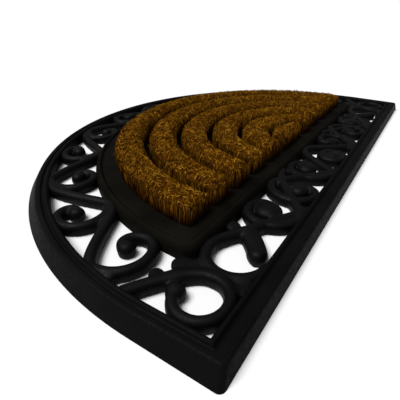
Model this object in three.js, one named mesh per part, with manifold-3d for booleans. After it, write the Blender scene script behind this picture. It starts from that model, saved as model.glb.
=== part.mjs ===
// Half-round doormat: a heavy moulded rubber mat with an openwork scroll border, and six
// bristle pads of coir standing on its solid middle panel. Millimetres, +Z up, +X along the
// straight edge, +Y towards the round side. The origin is under the middle of the mat.
import * as THREE from 'three';
import { mergeVertices } from 'three/addons/utils/BufferGeometryUtils.js';
import Module from 'manifold-3d';

// Overall size
const WIDTH = 750;
const DEPTH = 450;
const ROUND_RADIUS = WIDTH / 2;
const SIDE_RUN = DEPTH - ROUND_RADIUS;

// Frame: a sloped outer face, a flat top, a groove and a round bead, in order from outside in.
// round and straight are how far each line lies inside the round and the straight edge.
const FRAME_WIDTH = 22.5;
const FRAME_TOP = 14;
const FRAME_LINES = [
  { round: 0, straight: 0, z: 0 },
  { round: 8.2, straight: 3.2, z: 12.8 },
  { round: 9.8, straight: 4.8, z: FRAME_TOP },
  { round: 13.8, straight: 13.8, z: FRAME_TOP },
  { round: 15.2, straight: 15.2, z: 11.5 },
  { round: 16.6, straight: 16.6, z: 12.4 },
  { round: 18.2, straight: 18.2, z: 14.6 },
  { round: 20.6, straight: 20.6, z: 14.6 },
  { round: FRAME_WIDTH, straight: FRAME_WIDTH, z: 12 },
  { round: FRAME_WIDTH, straight: FRAME_WIDTH, z: 0 },
];
const FRAME_STEPS = 36;
const CORNER_ROUNDING = 4.5;
const CORNER_STEPS = 3;

// Middle panel: a half disc with rounded corners
const PANEL_TOP = 14;
const PANEL_RADIUS = 292;
const PANEL_CENTRE_Y = 89;
const PANEL_EDGE_Y = 80;
const PANEL_CORNER = 8;
const PANEL_ROUNDING = 3.5;

// Coir pads: a middle pad and five rings round it on one pitch, all cut off along one straight line
const COIR_CENTRE_Y = PANEL_CENTRE_Y;
const COIR_EDGE_Y = 103;
const COIR_FIRST = 47;
const COIR_PITCH = 44.4;
const COIR_CHANNEL = 8.5;
const COIR_RINGS = 5;
const COIR_HEIGHT = 26;
const COIR_CROWN = 11;
const PAD_GAP = 0.3;

// Scroll bars: flat underneath, round on top, ending in a boss
const BAR_WIDTH = 12;
const BAR_TOP = 12.5;
const BAR_SHOULDER = 6.5;
const BOSS_TOP = 13.2;
const WEB_TOP = 9.5;

// The scroll border is laid out in unit cells. Along is measured away from the near corner and
// across from the frame (0) to the panel (BAND), both in millimetres.
const BAND = 57;
const CURL = { across: 35, from: 34.5, ring: 22.5, to: 0.5, start: 264, sweep: 306, quick: 2.9 };
const STEM = [
  { along: -4, across: -4 },
  { along: 15, across: 9.5 },
  { along: 42, across: 35.5 },
  { along: 61, across: 52 },
  { along: 82, across: 61 },
];
const ROUND_UNITS = { count: 6, first: 10.4, pitch: 14.8, hub: 80, frameBoss: 8.5, panelBoss: 8.5 };
const STRAIGHT_UNITS = [
  { x: -184, side: 1, reach: 1.25, boss: 15.5 },
  { x: -125, side: -1, reach: 1.1, boss: 11 },
  { x: -60, side: 1, reach: 0.75, boss: 13 },
];

// The ring with a boss in the middle of the straight band
const MIDDLE_RING = { x: 0, y: 40, radius: 16, boss: 11 };

// The corner: a scroll that turns right round with a spur along its root, the arch beside it with
// a broad leaf inside, and low webs that fill the nooks between them, the frame and the panel
const CORNER_CURL = {
  x: -325, y: 50.5, from: 64, ring: 24.4, to: 19, start: 122, sweep: 380, quick: 16, boss: 8.5,
};
const SPUR = { fromX: -352, fromY: 103, toX: -312, toY: 78 };
const ARCH = { x: -267, y: 48.7, radius: 28.5, start: 272, end: 60 };
const LEAF = { fromX: -231, fromY: 57, toX: -257, toY: 35, sag: -4, width: 19, boss: 8.5 };
const WEBS = [
  { x: -298.5, y: 27, radius: 10 },
  { x: -301, y: 83.5, radius: 10 },
  { x: -296, y: 73, radius: 8 },
  { x: -346, y: 126, radius: 8 },
  { x: -229, y: 75, radius: 8 },
  { x: -322, y: 94, radius: 7 },
];

const wasm = await Module();
wasm.setup();

// A closed geometry as a solid that can be joined and cut
function solid(geometry) {
  geometry.deleteAttribute('normal');
  geometry.deleteAttribute('uv');
  const welded = mergeVertices(geometry, 1e-4);
  const mesh = new wasm.Mesh({
    numProp: 3,
    vertProperties: new Float32Array(welded.attributes.position.array),
    triVerts: new Uint32Array(welded.index.array),
  });
  return new wasm.Manifold(mesh);
}

function geometryOf(body) {
  const mesh = body.getMesh();
  const geometry = new THREE.BufferGeometry();
  geometry.setAttribute('position', new THREE.BufferAttribute(mesh.vertProperties, 3));
  geometry.setIndex(new THREE.BufferAttribute(mesh.triVerts, 1));
  geometry.computeVertexNormals();
  return geometry;
}

// The half-round outline at an inset, at one height
function outline(line) {
  const radius = ROUND_RADIUS - line.round;
  const corner = CORNER_ROUNDING * (1 - line.straight / FRAME_WIDTH) + 0.5;
  const path = new THREE.Path();
  path.absarc(-radius + corner, line.straight + corner, corner, 1.5 * Math.PI, Math.PI, true);
  path.absarc(0, SIDE_RUN, radius, Math.PI, 0, true);
  path.absarc(radius - corner, line.straight + corner, corner, 0, -0.5 * Math.PI, true);
  const points = path.curves.flatMap((curve) => {
    const steps = curve.xRadius === radius ? FRAME_STEPS : CORNER_STEPS;
    return curve.isEllipseCurve ? curve.getPoints(steps) : [];
  });
  return points.map((p) => new THREE.Vector3(p.x, p.y, line.z));
}

// A closed ring of section lines, each joined to the next and the last to the first
function ringSolid(lines) {
  const rings = lines.map(outline);
  const size = rings[0].length;
  const points = rings.flat();
  const index = [];
  rings.forEach((_, r) => {
    const here = r * size;
    const next = ((r + 1) % rings.length) * size;
    for (let i = 0; i < size; i += 1) {
      const j = (i + 1) % size;
      index.push(here + i, next + i, here + j, here + j, next + i, next + j);
    }
  });
  const geometry = new THREE.BufferGeometry().setFromPoints(points);
  geometry.setIndex(index);
  return solid(geometry);
}

// A flat-bottomed, round-topped bar along a level path
function bar(path, steps, width = BAR_WIDTH) {
  const half = width / 2;
  const section = new THREE.Shape();
  section.moveTo(0, -half);
  section.lineTo(0, half);
  section.lineTo(-BAR_SHOULDER, half);
  section.lineTo(-BAR_TOP, half * 0.45);
  section.lineTo(-BAR_TOP, -half * 0.45);
  section.lineTo(-BAR_SHOULDER, -half);
  return solid(new THREE.ExtrudeGeometry(section, { steps, extrudePath: path }));
}

// The boss at the end of a curl, or a low web
function boss(centre, radius, top = BOSS_TOP) {
  const profile = [
    new THREE.Vector2(0, 0),
    new THREE.Vector2(radius, 0),
    new THREE.Vector2(radius, top * 0.55),
    new THREE.Vector2(radius * 0.62, top * 0.9),
    new THREE.Vector2(0, top),
  ];
  const geometry = new THREE.LatheGeometry(profile, 7);
  geometry.rotateX(Math.PI / 2);
  geometry.translate(centre.x, centre.y, 0);
  return solid(geometry);
}

// A curl that swings in quickly from its root, runs round as a ring and closes on its boss
class Spiral extends THREE.Curve {
  constructor(curl, place) {
    super();
    this.curl = curl;
    this.place = place;
  }

  getPoint(t, target = new THREE.Vector3()) {
    const { from, ring, to, start, sweep, quick } = this.curl;
    const radius = to + (ring - to) * (1 - t ** 3) + (from - ring) * (1 - t) ** quick;
    const angle = THREE.MathUtils.degToRad(start - sweep * t);
    return target.copy(this.place(radius * Math.cos(angle), radius * Math.sin(angle)));
  }
}

// One unit cell of the border: a curl with its boss, and the stem that leads on to the next cell.
// side is 1 where the curl grows from the frame and -1 where it grows from the panel.
function unitCell(place, side, reach, bossRadius) {
  const across = (value) => (side > 0 ? value : BAND - value);
  const curl = new Spiral(CURL, (a, c) => place(a, across(CURL.across + c)));
  const stem = new THREE.CatmullRomCurve3(STEM.map((p) => place(p.along * reach, across(p.across))));
  return [bar(curl, 12), boss(curl.getPoint(1), bossRadius), bar(stem, 6)];
}

// Where a ray from the hub of the border meets a circle about (0, centreY)
function rayTo(angle, centreY, radius) {
  const rise = ROUND_UNITS.hub - centreY;
  const dip = rise * Math.sin(angle);
  const distance = -dip + Math.sqrt(radius ** 2 - rise ** 2 + dip ** 2);
  return new THREE.Vector3(-distance * Math.cos(angle), ROUND_UNITS.hub + distance * Math.sin(angle), 0);
}

// A place in the round band, from the angle of its cell, the way along and the way across
function roundPlace(cellAngle) {
  const middle = (ROUND_RADIUS - FRAME_WIDTH + PANEL_RADIUS) / 2;
  return (along, across) => {
    const angle = THREE.MathUtils.degToRad(cellAngle) + along / middle;
    const outer = rayTo(angle, SIDE_RUN, ROUND_RADIUS - FRAME_WIDTH);
    const inner = rayTo(angle, PANEL_CENTRE_Y, PANEL_RADIUS);
    return outer.lerp(inner, across / BAND);
  };
}

// A place in the straight band
function straightPlace(x) {
  const width = PANEL_EDGE_Y - FRAME_WIDTH;
  return (along, across) => new THREE.Vector3(x + along, FRAME_WIDTH + (across / BAND) * width, 0);
}

// The corner's own scroll, spur, arch, leaf and webs
function cornerBars() {
  const at = (dx, dy) => new THREE.Vector3(CORNER_CURL.x + dx, CORNER_CURL.y + dy, 0);
  const curl = new Spiral(CORNER_CURL, at);
  const spur = new THREE.LineCurve3(
    new THREE.Vector3(SPUR.fromX, SPUR.fromY, 0),
    new THREE.Vector3(SPUR.toX, SPUR.toY, 0),
  );

  const arch = new THREE.Path();
  const radians = THREE.MathUtils.degToRad;
  arch.absarc(ARCH.x, ARCH.y, ARCH.radius, radians(ARCH.start), radians(ARCH.end), true);
  const top = arch.currentPoint;
  const fall = top.y - FRAME_WIDTH + 3;
  arch.lineTo(top.x + fall / Math.tan(radians(90 - ARCH.end)), top.y - fall);
  const archPath = new THREE.CatmullRomCurve3(
    arch.getSpacedPoints(16).map((p) => new THREE.Vector3(p.x, p.y, 0)),
  );

  const leaf = new THREE.QuadraticBezierCurve3(
    new THREE.Vector3(LEAF.fromX, LEAF.fromY, 0),
    new THREE.Vector3((LEAF.fromX + LEAF.toX) / 2, (LEAF.fromY + LEAF.toY) / 2 + LEAF.sag, 0),
    new THREE.Vector3(LEAF.toX, LEAF.toY, 0),
  );
  return [
    bar(curl, 17),
    boss(curl.getPoint(1), CORNER_CURL.boss),
    bar(spur, 1),
    bar(archPath, 12),
    bar(leaf, 3, LEAF.width),
    boss(leaf.getPoint(1), LEAF.boss),
    ...WEBS.map((web) => boss(web, web.radius, WEB_TOP)),
  ];
}

// The ring and boss in the middle of the straight band
function middleRing() {
  const half = BAR_WIDTH / 2;
  const section = [
    { side: -half, z: 0 },
    { side: half, z: 0 },
    { side: half, z: BAR_SHOULDER },
    { side: half * 0.45, z: BAR_TOP },
    { side: -half * 0.45, z: BAR_TOP },
    { side: -half, z: BAR_SHOULDER },
    { side: -half, z: 0 },
  ];
  const profile = section.map((p) => new THREE.Vector2(MIDDLE_RING.radius + p.side, p.z));
  const ring = new THREE.LatheGeometry(profile, 16);
  ring.rotateX(Math.PI / 2);
  ring.translate(MIDDLE_RING.x, MIDDLE_RING.y, 0);
  return solid(ring).add(boss(MIDDLE_RING, MIDDLE_RING.boss));
}

// All bars of the left half of the border
function halfBorder() {
  const bars = cornerBars();
  for (let k = 0; k < ROUND_UNITS.count; k += 1) {
    const place = roundPlace(ROUND_UNITS.first + k * ROUND_UNITS.pitch);
    const fromFrame = k % 2 === 0;
    const bossRadius = fromFrame ? ROUND_UNITS.frameBoss : ROUND_UNITS.panelBoss;
    bars.push(...unitCell(place, fromFrame ? 1 : -1, 1, bossRadius));
  }
  for (const cell of STRAIGHT_UNITS) {
    bars.push(...unitCell(straightPlace(cell.x), cell.side, cell.reach, cell.boss));
  }
  return bars.reduce((sum, next) => sum.add(next));
}

// The solid middle, with a rounded top edge
function panel() {
  const corner = PANEL_CORNER;
  const r = PANEL_RADIUS - PANEL_ROUNDING;
  const low = PANEL_EDGE_Y + PANEL_ROUNDING;
  const rise = PANEL_CENTRE_Y - low;
  const shape = new THREE.Shape();
  const side = Math.sqrt(r ** 2 - (corner - rise) ** 2);
  const end = Math.atan2(corner - rise, side);
  shape.moveTo(-side + corner, low);
  shape.lineTo(side - corner, low);
  shape.quadraticCurveTo(side, low, side, low + corner);
  shape.absarc(0, PANEL_CENTRE_Y, r, end, Math.PI - end, false);
  shape.quadraticCurveTo(-side, low, -side + corner, low);
  const geometry = new THREE.ExtrudeGeometry(shape, {
    depth: PANEL_TOP - PANEL_ROUNDING,
    bevelThickness: PANEL_ROUNDING,
    bevelSize: PANEL_ROUNDING,
    bevelSegments: 2,
    curveSegments: 13,
  });
  const under = new THREE.BoxGeometry(2 * WIDTH, 2 * DEPTH, 20);
  under.translate(0, DEPTH / 2, -10);
  return solid(geometry).subtract(solid(under));
}

function rubberMat() {
  const left = halfBorder();
  const right = left.mirror([1, 0, 0]);
  return ringSolid(FRAME_LINES).add(panel()).add(left).add(right).add(middleRing());
}

// What lies on the near side of the line where the pads end
function nearSide() {
  const block = new THREE.BoxGeometry(2 * WIDTH, DEPTH, 200);
  block.translate(0, COIR_EDGE_Y - DEPTH / 2, 0);
  return solid(block);
}

// A ring of bristles: upright sides and a crowned top
function coirRing(inner, outer) {
  const half = (outer - inner) / 2;
  const middle = (outer + inner) / 2;
  const floor = PANEL_TOP + PAD_GAP;
  const shoulder = floor + COIR_HEIGHT - COIR_CROWN;
  const top = floor + COIR_HEIGHT;
  const section = new THREE.Shape();
  section.moveTo(-floor, -half);
  section.lineTo(-floor, half);
  section.lineTo(-shoulder, half);
  const swell = shoulder + COIR_CROWN * 0.6;
  section.bezierCurveTo(-swell, half, -top, half * 0.6, -top, 0);
  section.bezierCurveTo(-top, -half * 0.6, -swell, -half, -shoulder, -half);
  const path = new THREE.CatmullRomCurve3(
    new THREE.Path()
      .absarc(0, COIR_CENTRE_Y, middle, Math.PI, 0, true)
      .getSpacedPoints(48)
      .map((p) => new THREE.Vector3(p.x, p.y, 0)),
  );
  const steps = Math.round(8 + middle / 11);
  const ring = solid(new THREE.ExtrudeGeometry(section, { steps, curveSegments: 3, extrudePath: path }));
  return ring.subtract(nearSide());
}

// The pad of bristles in the middle
function coirDisc(radius) {
  const floor = PANEL_TOP + PAD_GAP;
  const profile = [
    new THREE.Vector2(0, floor),
    new THREE.Vector2(radius, floor),
    new THREE.Vector2(radius, floor + COIR_HEIGHT - COIR_CROWN),
    new THREE.Vector2(radius - 4, floor + COIR_HEIGHT - COIR_CROWN * 0.4),
    new THREE.Vector2(radius - 11, floor + COIR_HEIGHT - COIR_CROWN * 0.08),
    new THREE.Vector2(0, floor + COIR_HEIGHT),
  ];
  const round = new THREE.LatheGeometry(profile, 36);
  round.rotateX(Math.PI / 2);
  round.translate(0, COIR_CENTRE_Y, 0);
  return solid(round).subtract(nearSide());
}

// The sub-parts, moved so that the origin is under the middle of the mat
const rubber = { color: 0x15151a, roughness: 0.55, metalness: 0 };
const coir = { color: 0x7d4d1c, roughness: 0.95, metalness: 0 };
const mat = new THREE.Group();
mat.position.y = -DEPTH / 2;

function addPiece(name, body, look) {
  const mesh = new THREE.Mesh(geometryOf(body), new THREE.MeshStandardMaterial(look));
  mesh.name = name;
  mat.add(mesh);
}

addPiece('rubber_mat', rubberMat(), rubber);
addPiece('coir_centre', coirDisc(COIR_FIRST - COIR_CHANNEL / 2), coir);
for (let k = 1; k <= COIR_RINGS; k += 1) {
  const inner = COIR_FIRST + (k - 1) * COIR_PITCH + COIR_CHANNEL / 2;
  const outer = COIR_FIRST + k * COIR_PITCH - COIR_CHANNEL / 2;
  addPiece(`coir_arc_${k}`, coirRing(inner, outer), coir);
}

const part = new THREE.Group();
part.add(mat);
export default part;
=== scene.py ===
# %% [markdown]
# # A half-round doormat of moulded rubber with coir pads
# The real mat is pressed from black rubber in one mould: a stout frame, an openwork border of
# scrolls and a solid middle panel. Six pads of stiff coconut fibre stand on the panel like
# brushes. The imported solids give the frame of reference. This lesson dresses them: it repeats
# their sizes, makes every curve finer, grows the bristles and mixes the finishes.

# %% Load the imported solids
import math

import bpy
import numpy as np
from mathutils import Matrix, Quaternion, Vector, noise


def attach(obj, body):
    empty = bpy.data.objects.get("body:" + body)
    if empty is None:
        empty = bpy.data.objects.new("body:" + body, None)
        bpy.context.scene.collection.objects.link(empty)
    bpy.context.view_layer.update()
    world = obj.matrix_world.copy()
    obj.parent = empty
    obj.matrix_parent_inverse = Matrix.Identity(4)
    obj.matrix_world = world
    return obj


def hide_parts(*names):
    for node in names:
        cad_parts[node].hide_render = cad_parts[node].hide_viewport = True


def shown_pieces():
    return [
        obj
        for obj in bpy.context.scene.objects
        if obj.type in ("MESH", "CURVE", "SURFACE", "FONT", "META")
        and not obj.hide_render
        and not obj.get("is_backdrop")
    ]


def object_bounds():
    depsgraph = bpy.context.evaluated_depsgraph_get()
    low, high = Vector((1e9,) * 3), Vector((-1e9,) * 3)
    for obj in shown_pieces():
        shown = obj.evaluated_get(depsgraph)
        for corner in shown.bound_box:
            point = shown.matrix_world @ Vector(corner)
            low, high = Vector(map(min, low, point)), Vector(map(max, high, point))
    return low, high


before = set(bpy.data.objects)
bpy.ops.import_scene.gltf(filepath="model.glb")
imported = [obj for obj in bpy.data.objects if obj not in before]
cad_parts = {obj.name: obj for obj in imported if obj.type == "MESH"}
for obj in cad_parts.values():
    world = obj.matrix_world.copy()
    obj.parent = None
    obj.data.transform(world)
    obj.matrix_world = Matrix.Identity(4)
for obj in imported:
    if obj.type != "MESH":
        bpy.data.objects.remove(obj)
cad_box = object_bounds()
MM = 0.001
WIDTH, DEPTH, HEIGHT = ((cad_box[1][axis] - cad_box[0][axis]) / MM for axis in range(3))
SEED = 7
chance = np.random.default_rng(SEED)
noise.seed_set(SEED)
print(f"mat {WIDTH:.0f} x {DEPTH:.0f} x {HEIGHT:.1f} mm, solids {sorted(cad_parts)}")

# %% [markdown]
# ## Camera
# The photograph looks along the mat from beyond its near corner, quite low and with a wide lens,
# so the near corner is large and the far one small. The camera could be aimed by eye, but here its
# place was worked out from the mat's outline. A small shift stands in for the photograph's crop. The
# camera comes first, so that every later render can be set beside the photograph.

# %% Place the camera
CAMERA_AT = Vector((-0.4725, -0.2774, 0.1977))
LOOK_AT = Vector((-0.1842, -0.1050, 0.0))
CAMERA_ROLL = math.radians(1.35)
LENS = 30.45
SENSOR = 36
FRAME_SHIFT = -0.045
NEAREST_SHOWN = 0.01

view = bpy.data.cameras.new("camera")
view.lens = LENS
view.sensor_width = SENSOR
view.shift_x = FRAME_SHIFT
view.clip_start = NEAREST_SHOWN
camera = bpy.data.objects.new("camera", view)
camera.location = CAMERA_AT
camera.rotation_mode = "QUATERNION"
aim = (LOOK_AT - CAMERA_AT).to_track_quat("-Z", "Y")
camera.rotation_quaternion = aim @ Quaternion((0, 0, 1), CAMERA_ROLL)
bpy.context.scene.collection.objects.link(camera)
bpy.context.scene.camera = camera
print(f"camera {(LOOK_AT - CAMERA_AT).length:.2f} m from what it looks at")

# %% [markdown]
# ## From sizes to meshes
# All forms below are worked out in millimetres, with Y counted from the straight edge, as on a
# maker's drawing. One helper turns such points into a Blender mesh in metres, in the shared frame.
# Another joins rows of points into a skin, which is all that a frame, a bar or a boss needs.

# %% Helpers for points, rows and pieces
SHARP_EDGE = math.radians(50)


def make_piece(name, points, faces):
    """A smooth-shaded piece from points in millimetres and lists of corners."""
    mesh = bpy.data.meshes.new(name)
    placed = (np.asarray(points, float) - (0, DEPTH / 2, 0)) * MM
    mesh.from_pydata(placed.tolist(), [], faces)
    mesh.shade_smooth()
    mesh.set_sharp_from_angle(angle=SHARP_EDGE)
    piece = bpy.data.objects.new(name, mesh)
    bpy.context.scene.collection.objects.link(piece)
    return piece


def stand_for(piece, node):
    """The piece moves with the mat and takes the place of a solid."""
    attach(piece, "root")
    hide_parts(node)
    print(f"{piece.name}: {len(piece.data.polygons)} faces in place of {node}")


def skin_rows(rows, columns, close_rows, close_columns):
    """Four-cornered faces between neighbouring rows of points."""
    faces = []
    for r in range(rows if close_rows else rows - 1):
        below, above = r * columns, (r + 1) % rows * columns
        for c in range(columns if close_columns else columns - 1):
            d = (c + 1) % columns
            faces.append([below + c, below + d, above + d, above + c])
    return faces


def capped_skin(rows, columns):
    """The skin of a closed form: faces between its rows, and one face at each end."""
    faces = skin_rows(rows, columns, False, True)
    faces.append(list(range(columns))[::-1])
    faces.append(list(range((rows - 1) * columns, rows * columns)))
    return faces


def arc(centre, radius, start, end, steps):
    """Points along an arc, with its angles in degrees."""
    turn = np.radians(np.linspace(start, end, steps + 1))
    return np.stack([centre[0] + radius * np.cos(turn), centre[1] + radius * np.sin(turn)], 1)


def at_height(points, z):
    """Plan points lifted to one height."""
    return np.column_stack([points, np.full(len(points), z)])


# %% [markdown]
# ## Outer frame
# The frame is one section carried round the outline: a sloped outer face, a flat top, a groove and
# a round bead. A curve with a bevel object would turn the section at the corners, so the rows are
# laid one by one: each line of the section is the whole outline at its own inset. The slope is wide
# on the round side and steep on the straight one. Every line is softened first, because pressed
# rubber has no knife edges.

# %% Lay the frame's lines round the outline
ROUND_RADIUS = WIDTH / 2
SIDE_RUN = DEPTH - ROUND_RADIUS
FRAME_WIDTH = 22.5
FRAME_TOP = 14
FRAME_LINES = [
    dict(round=0, straight=0, z=0),
    dict(round=8.2, straight=3.2, z=12.8, soft=4.5),
    dict(round=9.8, straight=4.8, z=FRAME_TOP, soft=2.0),
    dict(round=13.8, straight=13.8, z=FRAME_TOP),
    dict(round=15.2, straight=15.2, z=11.5),
    dict(round=16.6, straight=16.6, z=12.4),
    dict(round=18.2, straight=18.2, z=14.6),
    dict(round=20.6, straight=20.6, z=14.6),
    dict(round=FRAME_WIDTH, straight=FRAME_WIDTH, z=12),
    dict(round=FRAME_WIDTH, straight=FRAME_WIDTH, z=0),
]
CORNER_ROUNDING = 4.5
CORNER_LEAST = 0.5
CORNER_STEPS = 8
BOW_STEPS = 150
SOFT_CUT = 0.9
SOFT_SHARE = 0.45
SOFT_STEPS = 5


def softened(lines):
    """The section with each inner corner replaced by a short curve."""
    table = np.array([[line["round"], line["straight"], line["z"]] for line in lines], float)
    out = [table[0]]
    for line, before, corner, after in zip(lines[1:], table, table[1:], table[2:]):
        into, away = before - corner, after - corner
        cut = line.get("soft", SOFT_CUT)
        start = corner + into * min(SOFT_SHARE, cut / np.linalg.norm(into[1:]))
        end = corner + away * min(SOFT_SHARE, cut / np.linalg.norm(away[1:]))
        for t in np.linspace(0, 1, SOFT_STEPS):
            out.append((1 - t) ** 2 * start + 2 * t * (1 - t) * corner + t**2 * end)
    return np.array(out + [table[-1]])


def frame_outline(inset_round, inset_straight, z):
    """The whole outline of the frame at one line of its section."""
    radius = ROUND_RADIUS - inset_round
    corner = CORNER_ROUNDING * (1 - inset_straight / FRAME_WIDTH) + CORNER_LEAST
    low = inset_straight + corner
    left = arc((-radius + corner, low), corner, 270, 180, CORNER_STEPS)
    bow = arc((0, SIDE_RUN), radius, 180, 0, BOW_STEPS)
    right = arc((radius - corner, low), corner, 0, -90, CORNER_STEPS)
    return at_height(np.vstack([left, bow, right]), z)


section = softened(FRAME_LINES)
rows = [frame_outline(*line) for line in section]
faces = skin_rows(len(rows), len(rows[0]), True, True)
outer_frame = make_piece("outer_frame", np.vstack(rows), [face[::-1] for face in faces])
stand_for(outer_frame, "rubber_mat")

# %% [markdown]
# ## Middle panel
# The panel is a half disc with small corners. A low bead runs round its top edge, with a narrow
# groove between it and the flat middle. A plain extrusion could not carry the bead, so the panel is
# rows of outlines, one for each step of its edge, and two large faces close it above and below.

# %% Build the panel from its wall over the bead to its flat top
PANEL_TOP = 14
PANEL_RADIUS = 292
PANEL_CENTRE_Y = 89
PANEL_EDGE_Y = 80
PANEL_CORNER = 12
PANEL_EDGE = [  # inset from the outline, height
    (0, 0), (0.6, 9.0), (1.2, 11.2), (2.4, 13.2), (3.8, 14.9), (5.2, 15.9), (6.4, 16.1), (7.5, 15.4),
    (8.2, 14.2), (8.9, 13.1), (9.8, 12.7), (10.8, 13.1), (11.8, 13.8), (13.0, PANEL_TOP),
]


def panel_outline(inset, z):
    """The whole outline of the panel at one step of its edge."""
    radius, low = PANEL_RADIUS - inset, PANEL_EDGE_Y + inset
    corner = PANEL_CORNER - inset / 2
    up = low + corner
    out = math.sqrt((radius - corner) ** 2 - (up - PANEL_CENTRE_Y) ** 2)
    meet = math.degrees(math.atan2(up - PANEL_CENTRE_Y, out))
    right = arc((out, up), corner, -90, meet, CORNER_STEPS)
    bow = arc((0, PANEL_CENTRE_Y), radius, meet, 180 - meet, BOW_STEPS)[1:-1]
    left = arc((-out, up), corner, 180 - meet, 270, CORNER_STEPS)
    return at_height(np.vstack([right, bow, left]), z)


rows = [panel_outline(*step) for step in PANEL_EDGE]
middle_panel = make_piece("middle_panel", np.vstack(rows), capped_skin(len(rows), len(rows[0])))
stand_for(middle_panel, "rubber_mat")

# %% [markdown]
# ## Scroll bars
# Each scroll is a bar, flat underneath and round on top, that swings in from its root, runs round
# as a ring and closes on a boss. A curve object with a round bevel would be round underneath too,
# so a section is carried along the path here. The bar grows a little thinner towards its boss, as
# a hand-drawn scroll does.

# %% Carry a bar along a path, and turn a boss
BAR_WIDTH = 12
BAR_THIN = 0.84
BAR_TOP = 12.5
BAR_SHOULDER = 6
CROWN_STEPS = 10
BOSS_TOP = 13.4
BOSS_WALL = 0.4
BOSS_FOOT = 0.94
BOSS_RINGS = 9
BOSS_SIDES = 28
FULLNESS = 0.8


def bar(path, thin=BAR_THIN, broad=1.0):
    """Points and faces of a closed bar along a level path of points."""
    ahead = np.gradient(path, axis=0)
    ahead /= np.linalg.norm(ahead, axis=1)[:, None]
    across = np.stack([-ahead[:, 1], ahead[:, 0]], 1)
    turn = np.linspace(0, math.pi, CROWN_STEPS + 1)
    side = np.concatenate([[-1], -np.cos(turn), [1]])
    crown = BAR_SHOULDER + (BAR_TOP - BAR_SHOULDER) * np.sin(turn) ** FULLNESS
    lift = np.concatenate([[0], crown, [0]])
    half = BAR_WIDTH / 2 * broad * np.linspace(1, thin, len(path))
    rows = []
    for spot, way, wide in zip(path, across, half):
        rows.append(np.column_stack([spot + np.outer(side, way) * wide, lift]))
    return np.vstack(rows), capped_skin(len(rows), len(side))


def boss(centre, radius, top=BOSS_TOP, wall=BOSS_WALL):
    """A dome on the floor, whose wall is upright for a share of its height."""
    turn = np.linspace(0, math.pi / 2, BOSS_RINGS)[:-1]
    shape = [(radius * BOSS_FOOT, 0)]
    shape += [(radius * math.cos(a) ** FULLNESS, top * (wall + (1 - wall) * math.sin(a))) for a in turn]
    spin = np.linspace(0, 2 * math.pi, BOSS_SIDES, endpoint=False)
    ring = np.stack([np.cos(spin), np.sin(spin)], 1)
    rows = [at_height(centre + ring * r, z) for r, z in shape]
    return np.vstack(rows), capped_skin(len(rows), BOSS_SIDES)


# %% [markdown]
# ## One unit of the border
# The border repeats one unit: a curl with its boss, and a stem that leads on to the next unit. Every
# second unit is turned over, so that curls grow from the frame and from the panel by turns. The
# unit is drawn once, in a straight strip from the frame to the panel, and a placing function bends
# that strip into the round band or leaves it straight.

# %% Draw the curl and stem of a unit
BAND = 57
CURL = dict(across=35, start_radius=34.5, ring=22.5, end_radius=0.5, start=264, sweep=306, quick=2.9)
STEM = [
    dict(along=-4, across=-4),
    dict(along=15, across=9.5),
    dict(along=42, across=35.5),
    dict(along=61, across=52),
    dict(along=82, across=61),
]
CURL_STEPS = 72
STEM_STEPS = 28


def curl_path(curl, steps):
    """Offsets of a curl from its middle: quickly in from the root, round, and on to the boss."""
    t = np.linspace(0, 1, steps + 1)
    radius = curl["end_radius"] + (curl["ring"] - curl["end_radius"]) * (1 - t**3)
    radius += (curl["start_radius"] - curl["ring"]) * (1 - t) ** curl["quick"]
    angle = np.radians(curl["start"] - curl["sweep"] * t)
    return np.stack([radius * np.cos(angle), radius * np.sin(angle)], 1)


def through(points, steps):
    """A smooth path through a few points."""
    knots = np.asarray(points, float)
    padded = np.vstack([2 * knots[0] - knots[1], knots, 2 * knots[-1] - knots[-2]])
    out = []
    for u in np.linspace(0, len(knots) - 1, steps + 1):
        k = min(int(u), len(knots) - 2)
        t = u - k
        a, b, c, d = padded[k : k + 4]
        out.append(b + 0.5 * t * (c - a + t * (2 * a - 5 * b + 4 * c - d + t * (3 * (b - c) + d - a))))
    return np.array(out)


def unit(place, side, reach, boss_radius):
    """The bars of one unit. side is 1 where its curl grows from the frame, -1 from the panel."""

    def turned(points):
        return np.array([place(a, c if side > 0 else BAND - c) for a, c in points])

    curl = turned(curl_path(CURL, CURL_STEPS) + (0, CURL["across"]))
    stem = turned(through([(p["along"] * reach, p["across"]) for p in STEM], STEM_STEPS))
    return [bar(curl), boss(curl[-1], boss_radius), bar(stem, 1)]


# %% Place units in the round band and in the straight one
ROUND_UNITS = dict(count=6, first=10.4, pitch=14.8, hub=80, frame_boss=8.5, panel_boss=8.5)
STRAIGHT_UNITS = [
    dict(x=-184, side=1, reach=1.25, boss=15.5),
    dict(x=-125, side=-1, reach=1.1, boss=11),
    dict(x=-60, side=1, reach=0.75, boss=13),
]


def ray_to(angle, centre_y, radius):
    """Where a ray from the border's hub meets a circle about the middle line."""
    rise = ROUND_UNITS["hub"] - centre_y
    dip = rise * math.sin(angle)
    distance = -dip + math.sqrt(radius**2 - rise**2 + dip**2)
    return np.array([-distance * math.cos(angle), ROUND_UNITS["hub"] + distance * math.sin(angle)])


def round_place(cell_angle):
    outer, inner = ROUND_RADIUS - FRAME_WIDTH, PANEL_RADIUS

    def place(along, across):
        angle = math.radians(cell_angle) + along / ((outer + inner) / 2)
        start, end = ray_to(angle, SIDE_RUN, outer), ray_to(angle, PANEL_CENTRE_Y, inner)
        return start + (end - start) * across / BAND

    return place


def straight_place(x):
    def place(along, across):
        return np.array([x + along, FRAME_WIDTH + across / BAND * (PANEL_EDGE_Y - FRAME_WIDTH)])

    return place


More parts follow.
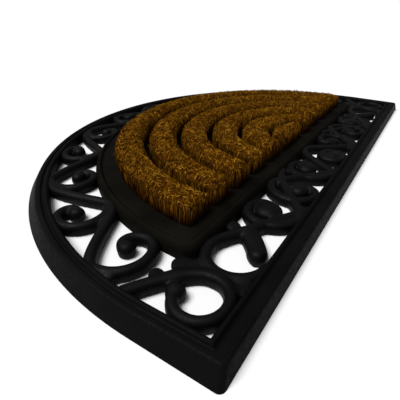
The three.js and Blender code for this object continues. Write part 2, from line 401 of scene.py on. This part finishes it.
bars = []
for k in range(ROUND_UNITS["count"]):
    angle = ROUND_UNITS["first"] + k * ROUND_UNITS["pitch"]
    if k % 2 == 0:
        bars += unit(round_place(angle), 1, 1, ROUND_UNITS["frame_boss"])
    else:
        bars += unit(round_place(angle), -1, 1, ROUND_UNITS["panel_boss"])
for cell in STRAIGHT_UNITS:
    bars += unit(straight_place(cell["x"]), cell["side"], cell["reach"], cell["boss"])
print(f"{len(bars)} bars and bosses in the units of one half")

# %% [markdown]
# ## Corner
# At each corner the border turns with a scroll of its own, that runs right round its boss, with
# a spur along its root. Beside it stands an arch with a broad leaf inside, and low webs fill the
# nooks between them. A ring with a boss marks the middle of the straight side, half of it in each
# half of the border. They are drawn in place, because nothing here repeats but the mirror image.

# %% Draw the corner's scroll, spur, arch, leaf and webs, and the middle ring
CORNER_CURL = dict(
    x=-325, y=50.5, start_radius=64, ring=24.4, end_radius=19, start=122, sweep=380, quick=16, boss=8.5
)
SPUR = dict(start=(-352, 103), end=(-312, 78))
ARCH = dict(x=-267, y=48.7, radius=28.5, start=272, end=60)
FOOT_DEPTH = 3
LEAF = dict(start=(-231, 57), end=(-257, 35), sag=-4, broad=1.58, boss=8.5)
WEB_TOP = 9.5
WEB_WALL = 0.8
WEBS = [
    dict(x=-298.5, y=27, radius=10),
    dict(x=-301, y=83.5, radius=10),
    dict(x=-296, y=73, radius=8),
    dict(x=-346, y=126, radius=8),
    dict(x=-229, y=75, radius=8),
    dict(x=-322, y=94, radius=7),
]
MIDDLE_RING = dict(x=0, y=40, radius=16, start=90, end=275, boss=11)
STEPS = dict(curl=110, spur=16, arch=60, leg=22, leaf=20, ring=40)

corner = curl_path(CORNER_CURL, STEPS["curl"]) + (CORNER_CURL["x"], CORNER_CURL["y"])
bars += [bar(corner), boss(corner[-1], CORNER_CURL["boss"])]
bars.append(bar(np.linspace(SPUR["start"], SPUR["end"], STEPS["spur"]), 1))

bend = arc((ARCH["x"], ARCH["y"]), ARCH["radius"], ARCH["start"], ARCH["end"], STEPS["arch"])
fall = bend[-1, 1] - FRAME_WIDTH + FOOT_DEPTH
foot = bend[-1] + (fall / math.tan(math.radians(90 - ARCH["end"])), -fall)
leg = bend[-1] + np.outer(np.linspace(0, 1, STEPS["leg"])[1:], foot - bend[-1])
bars.append(bar(np.vstack([bend, leg]), 1))

start, end = np.array(LEAF["start"], float), np.array(LEAF["end"], float)
middle = (start + end) / 2 + (0, LEAF["sag"])
t = np.linspace(0, 1, STEPS["leaf"])[:, None]
leaf = (1 - t) ** 2 * start + 2 * t * (1 - t) * middle + t**2 * end
bars += [bar(leaf, 1, LEAF["broad"]), boss(leaf[-1], LEAF["boss"])]
bars += [boss((web["x"], web["y"]), web["radius"], WEB_TOP, WEB_WALL) for web in WEBS]

hub = (MIDDLE_RING["x"], MIDDLE_RING["y"])
ring = arc(hub, MIDDLE_RING["radius"], MIDDLE_RING["start"], MIDDLE_RING["end"], STEPS["ring"])
bars += [bar(ring, 1), boss(hub, MIDDLE_RING["boss"])]
print(f"{len(bars)} bars and bosses in one half of the border")

# %% [markdown]
# ## One moulding
# In the mould all these bars run together with a small fillet where they meet. Boolean unions would
# leave sharp creases, so the overlapping bars and their mirror image become one mesh that is wrapped
# in a skin of small cells, and a little smoothing then rounds each joint.

# %% Join the two halves and melt the joints
CELL = 0.00172
SMOOTHING = dict(factor=0.5, rounds=6)


def joined(shapes):
    """Points and faces of several shapes, and of their mirror images, as one list each."""
    points, faces, first = [], [], 0
    for flip in (1, -1):
        for shape_points, shape_faces in shapes:
            points.append(shape_points * (flip, 1, 1))
            faces += [[first + i for i in face[::flip]] for face in shape_faces]
            first += len(shape_points)
    return np.vstack(points), faces


rough = make_piece("rough_scrolls", *joined(bars))
wrap = rough.modifiers.new("wrap", "REMESH")
wrap.mode = "VOXEL"
wrap.voxel_size = CELL
soften = rough.modifiers.new("soften", "SMOOTH")
soften.factor = SMOOTHING["factor"]
soften.iterations = SMOOTHING["rounds"]
bpy.context.view_layer.update()
melted = bpy.data.meshes.new_from_object(rough.evaluated_get(bpy.context.evaluated_depsgraph_get()))
bpy.data.objects.remove(rough)
melted.name = "border_scrolls"
melted.shade_smooth()
border_scrolls = bpy.data.objects.new("border_scrolls", melted)
bpy.context.scene.collection.objects.link(border_scrolls)
heights = np.zeros(len(melted.vertices) * 3)
melted.vertices.foreach_get("co", heights)
print(f"scrolls from {heights[2::3].min() / MM:.2f} to {heights[2::3].max() / MM:.2f} mm high")
stand_for(border_scrolls, "rubber_mat")

# %% [markdown]
# ## Coir pads
# A pad is a brush: bristles set upright in the rubber, cut level and a little rounded at the rim,
# where they lean outwards. Hair particles would have to be turned into meshes in the end, so each
# bristle is written straight into an array, a three-sided sliver with one bend. Most of its length
# hides in the pad, so a core, dark with painted shade, fills the pad and only the last stretch of
# each bristle is made.

# %% Say what shape the pads have
COIR_EDGE_Y = 103
COIR_FIRST = 47
COIR_PITCH = 44.4
COIR_CHANNEL = 8.5
COIR_RINGS = 5
COIR_FLOOR = 14.3
COIR_HEIGHT = 26
COIR_CROWN = 11
CROWN_REACH = 18
PLAN_ROUNDING = 4
NO_INNER_RIM = -1000.0


def rim_distance(points, inner, outer):
    """How far points lie inside a pad's rim, whose corners are rounded in plan."""
    radius = np.hypot(points[:, 0], points[:, 1] - PANEL_CENTRE_Y)
    ring = np.minimum(radius - inner, outer - radius)
    end = points[:, 1] - COIR_EDGE_Y
    gap_ring = np.maximum(PLAN_ROUNDING - ring, 0)
    gap_end = np.maximum(PLAN_ROUNDING - end, 0)
    both = PLAN_ROUNDING - np.hypot(gap_ring, gap_end)
    return np.where((gap_ring > 0) | (gap_end > 0), both, np.minimum(ring, end))


def top_height(distance):
    """The pad's height at a distance inside its rim: a rounded shoulder, then level."""
    inside = np.clip(distance / CROWN_REACH, 0, 1)
    return COIR_FLOOR + COIR_HEIGHT - COIR_CROWN * (1 - np.sqrt(1 - (1 - inside) ** 2))


pads = {"coir_centre": (NO_INNER_RIM, COIR_FIRST - COIR_CHANNEL / 2)}
for k in range(1, COIR_RINGS + 1):
    outer = COIR_FIRST + k * COIR_PITCH - COIR_CHANNEL / 2
    pads[f"coir_arc_{k}"] = (outer - COIR_PITCH + COIR_CHANNEL, outer)
print(", ".join(f"{name} to {outer:.1f} mm" for name, (inner, outer) in pads.items()))

# %% [markdown]
# ### Core
# The core is the pad's own form, drawn in by a few millimetres, and it keeps light from shining
# through between the bristles. It is a fan of short sections from one cut end to the other. Its
# colour is painted shade: brown near its top and nearly black near its foot, where little light
# comes down.

# %% Build a pad's core
CORE_INSET = 2.5
CORE_DROP = 3.0
# The core's tone at its top; below it the painted shade deepens towards its foot.
CORE_SHADED_TONE = 0.24
CORE_STATION = 5
CORE_POINTS = 12
CORE_MIDDLE_GAP = 0.5


def core(inner, outer):
    """Points and faces of the dark filling of a pad."""
    rise = COIR_EDGE_Y - PANEL_CENTRE_Y
    innermost = max(inner, rise + CORE_MIDDLE_GAP) + CORE_INSET
    radii = np.linspace(innermost, outer - CORE_INSET, CORE_POINTS)
    stations = int(math.pi * outer / CORE_STATION)
    depth = np.minimum(radii - inner, outer - radii)
    short = np.maximum(PLAN_ROUNDING - depth, 0)
    bite = PLAN_ROUNDING - np.sqrt(np.maximum(PLAN_ROUNDING**2 - short**2, 0))
    first = np.arcsin(np.clip((rise + CORE_INSET + bite) / radii, 0, 1))
    rows = []
    for s in np.linspace(0, 1, stations):
        angle = math.pi - first - s * (math.pi - 2 * first)
        plan = np.stack([radii * np.cos(angle), PANEL_CENTRE_Y + radii * np.sin(angle)], 1)
        top = top_height(rim_distance(plan, inner, outer)) - CORE_DROP
        ends = at_height(plan[[0, -1]], COIR_FLOOR)
        rows.append(np.vstack([ends[:1], np.column_stack([plan, top]), ends[1:]]))
    return np.vstack(rows), capped_skin(stations, len(rows[0]))


# %% [markdown]
# ### Bristles
# Bristles are scattered over the pad with a seeded generator, so that each run gives the same mat.
# Neighbours lean together in small tufts, and those near the rim lean outwards. Shoes have bent
# many tips over, so that they lie on the pad as short golden strokes, paler by a painted highlight.
# Along the rim a second set stands against the wall at full length. Each bristle has a tone of its
# own, which the finish turns into colour, and painted shade darkens it towards its root.

# %% Find places in a pad and the way a bristle leans there
TUFT_SIZE = 7.0
LEAN_LAYER = 3.7
RISE_LAYER = 9.1
SLOPE_STEP = 0.5
LEAST_SLOPE = 1e-6


def in_tuft(plan, layer):
    """Where plan points lie in one layer of the noise that gathers bristles into tufts."""
    return [Vector((x / TUFT_SIZE, y / TUFT_SIZE, layer)) for x, y in plan]


def tuft_lean(plan):
    """A slowly changing sideways lean, the same for the bristles of one tuft."""
    return np.array([noise.noise_vector(place)[:2] for place in in_tuft(plan, LEAN_LAYER)])


def tuft_rise(plan):
    """A slowly changing rise and fall of the tips, and of their tone."""
    return np.array([noise.noise(place) for place in in_tuft(plan, RISE_LAYER)])


def outward(plan, inner, outer):
    """The way out of the pad: down the slope of the rim distance."""
    here = rim_distance(plan, inner, outer)
    dx = rim_distance(plan + (SLOPE_STEP, 0), inner, outer) - here
    dy = rim_distance(plan + (0, SLOPE_STEP), inner, outer) - here
    slope = -np.stack([dx, dy], 1)
    return slope / np.maximum(np.linalg.norm(slope, axis=1), LEAST_SLOPE)[:, None]


def scatter(inner, outer, density, keep):
    """Random places in a pad whose distance from its rim passes a test."""
    count = int(density * 2 * outer * (outer + 1))
    x = chance.uniform(-outer, outer, count)
    y = PANEL_CENTRE_Y + chance.uniform(0, outer + 1, count)
    plan = np.stack([x, y], 1)
    return plan[keep(rim_distance(plan, inner, outer))]


# %% [markdown]
# A bristle is thinner than a pixel of most pictures, so three sides are enough for it. It has seven
# points: 0 to 2 round its root, 3 to 5 round a bend that is a little thinner, and 6 at its tip. All
# bristles of a pad are made at once, because a loop over so many would be slow.

# %% Turn roots, bends and tips into slivers
BEND_WIDTH = 0.95
SLIVER_POINTS = 7


def slivers(roots, bends, tips, thickness, tones_with_painted_light):
    """Closed three-sided slivers with one bend: points, faces and a tone for each point, which carries
    painted shade at roots and painted highlight on bent tips.
    """
    axis = tips - roots
    axis /= np.linalg.norm(axis, axis=1)[:, None]
    aside = np.cross(axis, chance.normal(size=axis.shape))
    aside /= np.linalg.norm(aside, axis=1)[:, None]
    other = np.cross(axis, aside)
    parts = []
    for place, width in ((roots, 1.0), (bends, BEND_WIDTH)):
        for turn in np.radians((0, 120, 240)):
            out = aside * math.cos(turn) + other * math.sin(turn)
            parts.append(place + out * thickness[:, None] * width)
    points = np.stack([*parts, tips], 1).reshape(-1, 3)
    shape = [(0, 2, 1)]
    for i, j in ((0, 1), (1, 2), (2, 0)):
        shape += [(i, j, 3 + j), (i, 3 + j, 3 + i), (3 + i, 3 + j, 6)]
    faces = (np.arange(len(roots))[:, None, None] * SLIVER_POINTS + np.array(shape)).reshape(-1, 3)
    return points, faces, np.repeat(tones_with_painted_light, (3, 3, 1), axis=1).ravel()


# %% [markdown]
# The numbers that follow say how a worn brush looks: how dense it is, how far bristles lean, how
# uneven their ends are, and how many are bent over. Few bristles are strays, and no lean is large,
# because a fibre that hung over the bare rubber would look like litter.

# %% Grow the bristles of a pad
TOP_DENSITY = 0.54
WALL_DENSITY = 2.1
WALL_DEEP = 1.6
RIM_BARE = 0.2
BRISTLE_LENGTH = 10
BRISTLE_THICKNESS = 0.48
THICKNESS_RANGE = (0.7, 1.3)
TUFT_LEAN = 0.20
OWN_LEAN = 0.12
RIM_LEAN = 0.04
WALL_LEAN = 0.45
MOST_LEAN = 0.36
STRAY_SHARE = 0.02
STRAY_LEAN = 1.6
STRAY_RISE = 1.2
TUFT_RISE = 1.3
TIP_MEAN, TIP_SPREAD = -0.6, 0.7
WALL_ROOTS = 5
BEND_SPREAD = 0.3
BENT_SHARE = 0.42
BENT_REACH = 6.0
BENT_RANGE = (0.5, 1.1)
BENT_KNEE = 1.2
BENT_MEAN, BENT_SPREAD = -0.3, 0.5
RIM_KEPT = 1
TONE_SHAPE = 1.2
TUFT_TONE = 0.3
# Bent bristles lying on top are made paler: a painted highlight.
BENT_PAINTED_HIGHLIGHT = 0.12
LEAST_TONE = 0.02
# Tone at root, bend and tip: painted shade, darkest at the root and deepest on the wall.
TOP_PAINTED_SHADE = (0.25, 0.75, 1.0)
WALL_PAINTED_SHADE = (0.20, 0.68, 1.0)


def bristles(inner, outer):
    """All bristles of a pad."""
    top = scatter(inner, outer, TOP_DENSITY, lambda d: d > WALL_DEEP)
    wall = scatter(inner, outer, WALL_DENSITY, lambda d: (d > RIM_BARE) & (d < WALL_DEEP))
    plan = np.vstack([top, wall])
    count = len(plan)
    is_wall = np.arange(count) >= len(top)
    distance = rim_distance(plan, inner, outer)
    near_rim = np.clip(1 - distance / COIR_CROWN, 0, 1)[:, None]
    lean = TUFT_LEAN * tuft_lean(plan) + OWN_LEAN * chance.normal(size=plan.shape)
    lean += RIM_LEAN * near_rim * outward(plan, inner, outer)
    lean *= np.where(is_wall, WALL_LEAN, 1.0)[:, None]
    stray = chance.random(count) < STRAY_SHARE
    lean[stray] *= STRAY_LEAN
    lean = np.clip(lean, -MOST_LEAN, MOST_LEAN)

    tuft = tuft_rise(plan)
    tip_z = top_height(distance) + chance.normal(TIP_MEAN, TIP_SPREAD, count)
    tip_z = tip_z + TUFT_RISE * tuft + stray * STRAY_RISE
    full = tip_z - COIR_FLOOR - chance.uniform(0, WALL_ROOTS, count)
    reach = np.where(is_wall, full, BRISTLE_LENGTH)
    roots = np.column_stack([plan, tip_z - reach])
    tips = np.column_stack([plan + lean * np.minimum(reach, BRISTLE_LENGTH)[:, None], tip_z])
    bends = (roots + tips) / 2 + chance.normal(0, BEND_SPREAD, roots.shape)

    bent = ~is_wall & (chance.random(count) < BENT_SHARE)
    way = chance.uniform(0, 2 * math.pi, count)
    room = np.maximum(distance - RIM_KEPT, RIM_KEPT)
    fall = np.minimum(BENT_REACH * chance.uniform(*BENT_RANGE, count), room)
    bends[bent] = tips[bent] - (0, 0, BENT_KNEE)
    tips[bent, 0] += (fall * np.cos(way))[bent]
    tips[bent, 1] += (fall * np.sin(way))[bent]
    lying = top_height(rim_distance(tips[bent, :2], inner, outer))
    tips[bent, 2] = lying + TUFT_RISE * tuft[bent] + chance.normal(BENT_MEAN, BENT_SPREAD, bent.sum())

    thickness = BRISTLE_THICKNESS * chance.uniform(*THICKNESS_RANGE, count)
    # Bent bristles get a painted highlight on top of their own tone.
    tone_with_painted_light = chance.beta(TONE_SHAPE, TONE_SHAPE, count) + TUFT_TONE * tuft + BENT_PAINTED_HIGHLIGHT * bent
    # Painted shade: each bristle is darker towards its root.
    painted_shade = np.where(is_wall[:, None], WALL_PAINTED_SHADE, TOP_PAINTED_SHADE)
    return slivers(roots, bends, tips, thickness, np.clip(tone_with_painted_light, LEAST_TONE, 1)[:, None] * painted_shade)


# %% Make the six pads
coir_pads = []
for node, (inner, outer) in pads.items():
    core_points, core_faces = core(inner, outer)
    points, faces, tones_with_painted_light = bristles(inner, outer)
    all_faces = core_faces + (faces + len(core_points)).tolist()
    pad = make_piece(node.replace("coir", "bristle"), np.vstack([core_points, points]), all_faces)
    # Painted shade: the core's tone falls from its top to nearly nothing at its foot.
    height = (core_points[:, 2] - COIR_FLOOR) / (COIR_HEIGHT - CORE_DROP)
    tone_with_painted_light = pad.data.attributes.new("tone_with_painted_light", "FLOAT", "POINT")
    tone_with_painted_light.data.foreach_set("value", np.concatenate([CORE_SHADED_TONE * height**2, tones_with_painted_light]).astype(np.float32))
    stand_for(pad, node)
    coir_pads.append(pad)

# %% [markdown]
# ## Finishes
# Two effects serve every finish: soft mottling, for the uneven bloom of rubber and the paler and
# darker parts of a coir pad, and a fine grain for the touch of the surface. Each is a node group
# with its own inputs, built once and placed where it is needed.

# %% Build the shared effects
MOTTLE_RANGE = (0.3, 0.7)
GRAIN_DETAIL = 3.0


def new_group(name, inputs, outputs):
    """An empty shader group with number sockets, and its two end nodes."""
    group = bpy.data.node_groups.new(name, "ShaderNodeTree")
    for title, value in inputs.items():
        socket = group.interface.new_socket(title, in_out="INPUT", socket_type="NodeSocketFloat")
        socket.default_value = value
    for title in outputs:
        group.interface.new_socket(title, in_out="OUTPUT", socket_type="NodeSocketFloat")
    return group, group.nodes.new("NodeGroupInput"), group.nodes.new("NodeGroupOutput")


mottle, given, result = new_group("mottle", {"Size": 40.0, "Fine Size": 400.0}, ["Patches", "Specks"])
spot = mottle.nodes.new("ShaderNodeTexCoord")
for size, output, detail in (("Size", "Patches", 4.0), ("Fine Size", "Specks", 2.0)):
    cloud = mottle.nodes.new("ShaderNodeTexNoise")
    cloud.inputs["Detail"].default_value = detail
    stretch = mottle.nodes.new("ShaderNodeMapRange")
    stretch.inputs["From Min"].default_value = MOTTLE_RANGE[0]
    stretch.inputs["From Max"].default_value = MOTTLE_RANGE[1]
    mottle.links.new(spot.outputs["Object"], cloud.inputs["Vector"])
    mottle.links.new(given.outputs[size], cloud.inputs["Scale"])
    mottle.links.new(cloud.outputs["Fac"], stretch.inputs["Value"])
    mottle.links.new(stretch.outputs["Result"], result.inputs[output])

grain, given, result = new_group("fine_grain", {"Size": 900.0, "Pits": 0.4}, ["Height"])
spot = grain.nodes.new("ShaderNodeTexCoord")
bumps = grain.nodes.new("ShaderNodeTexNoise")
bumps.inputs["Detail"].default_value = GRAIN_DETAIL
pits = grain.nodes.new("ShaderNodeTexVoronoi")
blend = grain.nodes.new("ShaderNodeMix")
for node in (bumps, pits):
    grain.links.new(spot.outputs["Object"], node.inputs["Vector"])
    grain.links.new(given.outputs["Size"], node.inputs["Scale"])
grain.links.new(given.outputs["Pits"], blend.inputs["Factor"])
grain.links.new(bumps.outputs["Fac"], blend.inputs["A"])
grain.links.new(pits.outputs["Distance"], blend.inputs["B"])
grain.links.new(blend.outputs["Result"], result.inputs["Height"])
print("shared effects:", mottle.name, "and", grain.name)

# %% [markdown]
# ### Rubber
# The rubber is black with a faint grey bloom in patches. Its gloss is weak and uneven, which keeps
# the flat faces quiet. The scrolls are the same rubber, rubbed a little smoother by shoes, so that
# their round tops catch the light, and brown dust from the coir dulls the panel. One function mixes
# all three.

# %% Helpers for materials


def new_finish(name):
    """A node material, its tree and its surface shader."""
    finish = bpy.data.materials.new(name)
    finish.use_nodes = True
    tree = finish.node_tree
    return finish, tree, tree.nodes["Principled BSDF"]


def place_group(tree, group, **values):
    """A shared effect placed in a material, with values of its own."""
    node = tree.nodes.new("ShaderNodeGroup")
    node.node_tree = group
    for title, value in values.items():
        node.inputs[title.replace("_", " ")].default_value = value
    return node


def mix_colours(tree, mask, dark, light):
    """A colour between two, by a mask socket."""
    node = tree.nodes.new("ShaderNodeMix")
    node.data_type = "RGBA"
    node.inputs["A"].default_value = (*dark, 1)
    node.inputs["B"].default_value = (*light, 1)
    tree.links.new(mask, node.inputs["Factor"])
    return node.outputs["Result"]


def between(tree, mask, low, high):
    """A number between two, by a mask socket."""
    node = tree.nodes.new("ShaderNodeMapRange")
    node.inputs["To Min"].default_value = low
    node.inputs["To Max"].default_value = high
    tree.links.new(mask, node.inputs["Value"])
    return node.outputs["Result"]


def raise_grain(tree, height, strength, distance):
    """A normal that follows a height socket."""
    node = tree.nodes.new("ShaderNodeBump")
    node.inputs["Strength"].default_value = strength
    node.inputs["Distance"].default_value = distance
    tree.links.new(height, node.inputs["Height"])
    return node.outputs["Normal"]


# %% Mix the rubber
RUBBER_BLACK = (0.0009, 0.0009, 0.0011)
RUBBER_BLOOM = (0.0030, 0.0028, 0.0026)
DUSTY_BLACK = (0.0018, 0.0015, 0.0010)
DUSTY_BLOOM = (0.0064, 0.0054, 0.0036)
GRAIN_STRENGTH = 0.3
GRAIN_DEPTH = 0.0006


def mix_rubber(name, dark, bloom, rough_low, rough_high, gloss):
    """Black rubber with a bloom in patches, whose roughness wanders between two values."""
    rubber, tree, surface = new_finish(name)
    patches = place_group(tree, mottle, Size=22.0, Fine_Size=380.0)
    touch = place_group(tree, grain, Size=700.0, Pits=0.35)
    colour = mix_colours(tree, patches.outputs["Patches"], dark, bloom)
    rough = between(tree, patches.outputs["Specks"], rough_low, rough_high)
    raised = raise_grain(tree, touch.outputs["Height"], GRAIN_STRENGTH, GRAIN_DEPTH)
    tree.links.new(colour, surface.inputs["Base Color"])
    tree.links.new(rough, surface.inputs["Roughness"])
    tree.links.new(raised, surface.inputs["Normal"])
    surface.inputs["Specular IOR Level"].default_value = gloss
    return rubber


dull_rubber = mix_rubber(
    "dull_rubber", RUBBER_BLACK, RUBBER_BLOOM, rough_low=0.55, rough_high=0.75, gloss=0.06
)
dusty_rubber = mix_rubber(
    "dusty_rubber", DUSTY_BLACK, DUSTY_BLOOM, rough_low=0.65, rough_high=0.85, gloss=0.03
)
rubbed_rubber = mix_rubber(
    "rubbed_rubber", RUBBER_BLACK, RUBBER_BLOOM, rough_low=0.46, rough_high=0.64, gloss=0.09
)
outer_frame.data.materials.append(dull_rubber)
middle_panel.data.materials.append(dusty_rubber)
border_scrolls.data.materials.append(rubbed_rubber)
print("dull rubber on the frame, dusty on the panel, rubbed on the scrolls")

# %% [markdown]
# ### Coir
# Coir is brown, up to a golden straw colour at the palest tips; the nearly black end of the ramp is
# painted shade between the bristles and deep in the pad. The tone that each bristle carries picks a
# colour from a ramp, and mottling shifts whole patches, as fibres of many husks lie side by side. A
# fibre is dull, so its gloss is kept low.

# %% Mix the coir
# The darkest stops are reached by the painted shade at roots and at the core's foot.
COIR_TONES = [
    (0.00, (0.006, 0.0019, 0.0001)),
    (0.30, (0.086, 0.0300, 0.0010)),
    (0.62, (0.258, 0.1030, 0.0040)),
    (1.00, (0.640, 0.3300, 0.0260)),
]
PATCH_TONES = (0.8, 1.12)
COIR_ROUGHNESS = (0.7, 0.95)
COIR_GLOSS = 0.03

coir, tree, surface = new_finish("coir_bristle")
# The tone attribute carries each bristle's own tone with painted shade at roots and painted highlight
# on bent tips.
tone_with_painted_light = tree.nodes.new("ShaderNodeAttribute")
tone_with_painted_light.attribute_name = "tone_with_painted_light"
patches = place_group(tree, mottle, Size=30.0, Fine_Size=500.0)
shifted = tree.nodes.new("ShaderNodeMath")
shifted.operation = "MULTIPLY"
tree.links.new(tone_with_painted_light.outputs["Fac"], shifted.inputs[0])
tree.links.new(between(tree, patches.outputs["Patches"], *PATCH_TONES), shifted.inputs[1])
ramp = tree.nodes.new("ShaderNodeValToRGB")
stops = ramp.color_ramp.elements
while len(stops) < len(COIR_TONES):
    stops.new(0.5)
for stop, (position, colour) in zip(stops, COIR_TONES):
    stop.position = position
    stop.color = (*colour, 1)
tree.links.new(shifted.outputs["Value"], ramp.inputs["Fac"])
tree.links.new(ramp.outputs["Color"], surface.inputs["Base Color"])
tree.links.new(between(tree, patches.outputs["Specks"], *COIR_ROUGHNESS), surface.inputs["Roughness"])
surface.inputs["Specular IOR Level"].default_value = COIR_GLOSS
for pad in coir_pads:
    pad.data.materials.append(coir)
print("coir on", len(coir_pads), "pads")

# %% [markdown]
# ## Floor and light
# The mat lies on a plain white floor under one broad soft lamp, high up on the round side. A lamp
# near the mat would leave the far floor dark, so it shines from afar and lights the floor evenly.
# Weak light from all around fills the shadows, and the room itself shows white behind the floor.

# %% Lay the floor
FLOOR_REACH = 30.0
FLOOR_DROP = 0.0003
FLOOR_SHADES = ((0.86, 0.86, 0.86), (0.88, 0.88, 0.88))
FLOOR_ROUGHNESS = 0.9
FLOOR_GLOSS = 0.1

ground = bpy.data.meshes.new("floor")
square = ((-FLOOR_REACH, -FLOOR_REACH), (FLOOR_REACH, -FLOOR_REACH))
square += ((FLOOR_REACH, FLOOR_REACH), (-FLOOR_REACH, FLOOR_REACH))
ground.from_pydata([(x, y, -FLOOR_DROP) for x, y in square], [], [(0, 1, 2, 3)])
floor = bpy.data.objects.new("floor", ground)
bpy.context.scene.collection.objects.link(floor)
white, tree, surface = new_finish("pale_floor")
patches = place_group(tree, mottle, Size=3.0, Fine_Size=60.0)
colour = mix_colours(tree, patches.outputs["Patches"], *FLOOR_SHADES)
tree.links.new(colour, surface.inputs["Base Color"])
surface.inputs["Roughness"].default_value = FLOOR_ROUGHNESS
surface.inputs["Specular IOR Level"].default_value = FLOOR_GLOSS
floor.data.materials.append(white)
floor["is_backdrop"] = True
print("floor", 2 * FLOOR_REACH, "m across")

# %% Hang the lamp and set the light all around
LAMP_FROM = Vector((-0.5, 0.5, 1.5))
LAMP_SPREAD = math.radians(35)
LAMP_STRENGTH = 3.4
AROUND = 0.22

lamp_data = bpy.data.lights.new("soft_lamp", "SUN")
lamp_data.angle = LAMP_SPREAD
lamp_data.energy = LAMP_STRENGTH
lamp = bpy.data.objects.new("soft_lamp", lamp_data)
lamp.location = LAMP_FROM
lamp.rotation_mode = "QUATERNION"
lamp.rotation_quaternion = (-LAMP_FROM).to_track_quat("-Z", "Y")
bpy.context.scene.collection.objects.link(lamp)

world = bpy.data.worlds.new("pale_room")
world.use_nodes = True
room = world.node_tree
light_path = room.nodes.new("ShaderNodeLightPath")
strength = room.nodes.new("ShaderNodeMapRange")
strength.inputs["To Min"].default_value = AROUND
strength.inputs["To Max"].default_value = 1.0
room.links.new(light_path.outputs["Is Camera Ray"], strength.inputs["Value"])
room.links.new(strength.outputs["Result"], room.nodes["Background"].inputs["Strength"])
room.nodes["Background"].inputs["Color"].default_value = (1, 1, 1, 1)
bpy.context.scene.world = world
bpy.context.scene.view_settings.view_transform = "Standard"
print("lamp strength", LAMP_STRENGTH, "and light all around", AROUND)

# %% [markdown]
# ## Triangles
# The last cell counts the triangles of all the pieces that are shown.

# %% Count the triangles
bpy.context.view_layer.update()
meshes = [piece.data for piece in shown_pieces() if piece.type == "MESH"]
triangles = sum(len(face.vertices) - 2 for mesh in meshes for face in mesh.polygons)
print(triangles, "triangles in all")
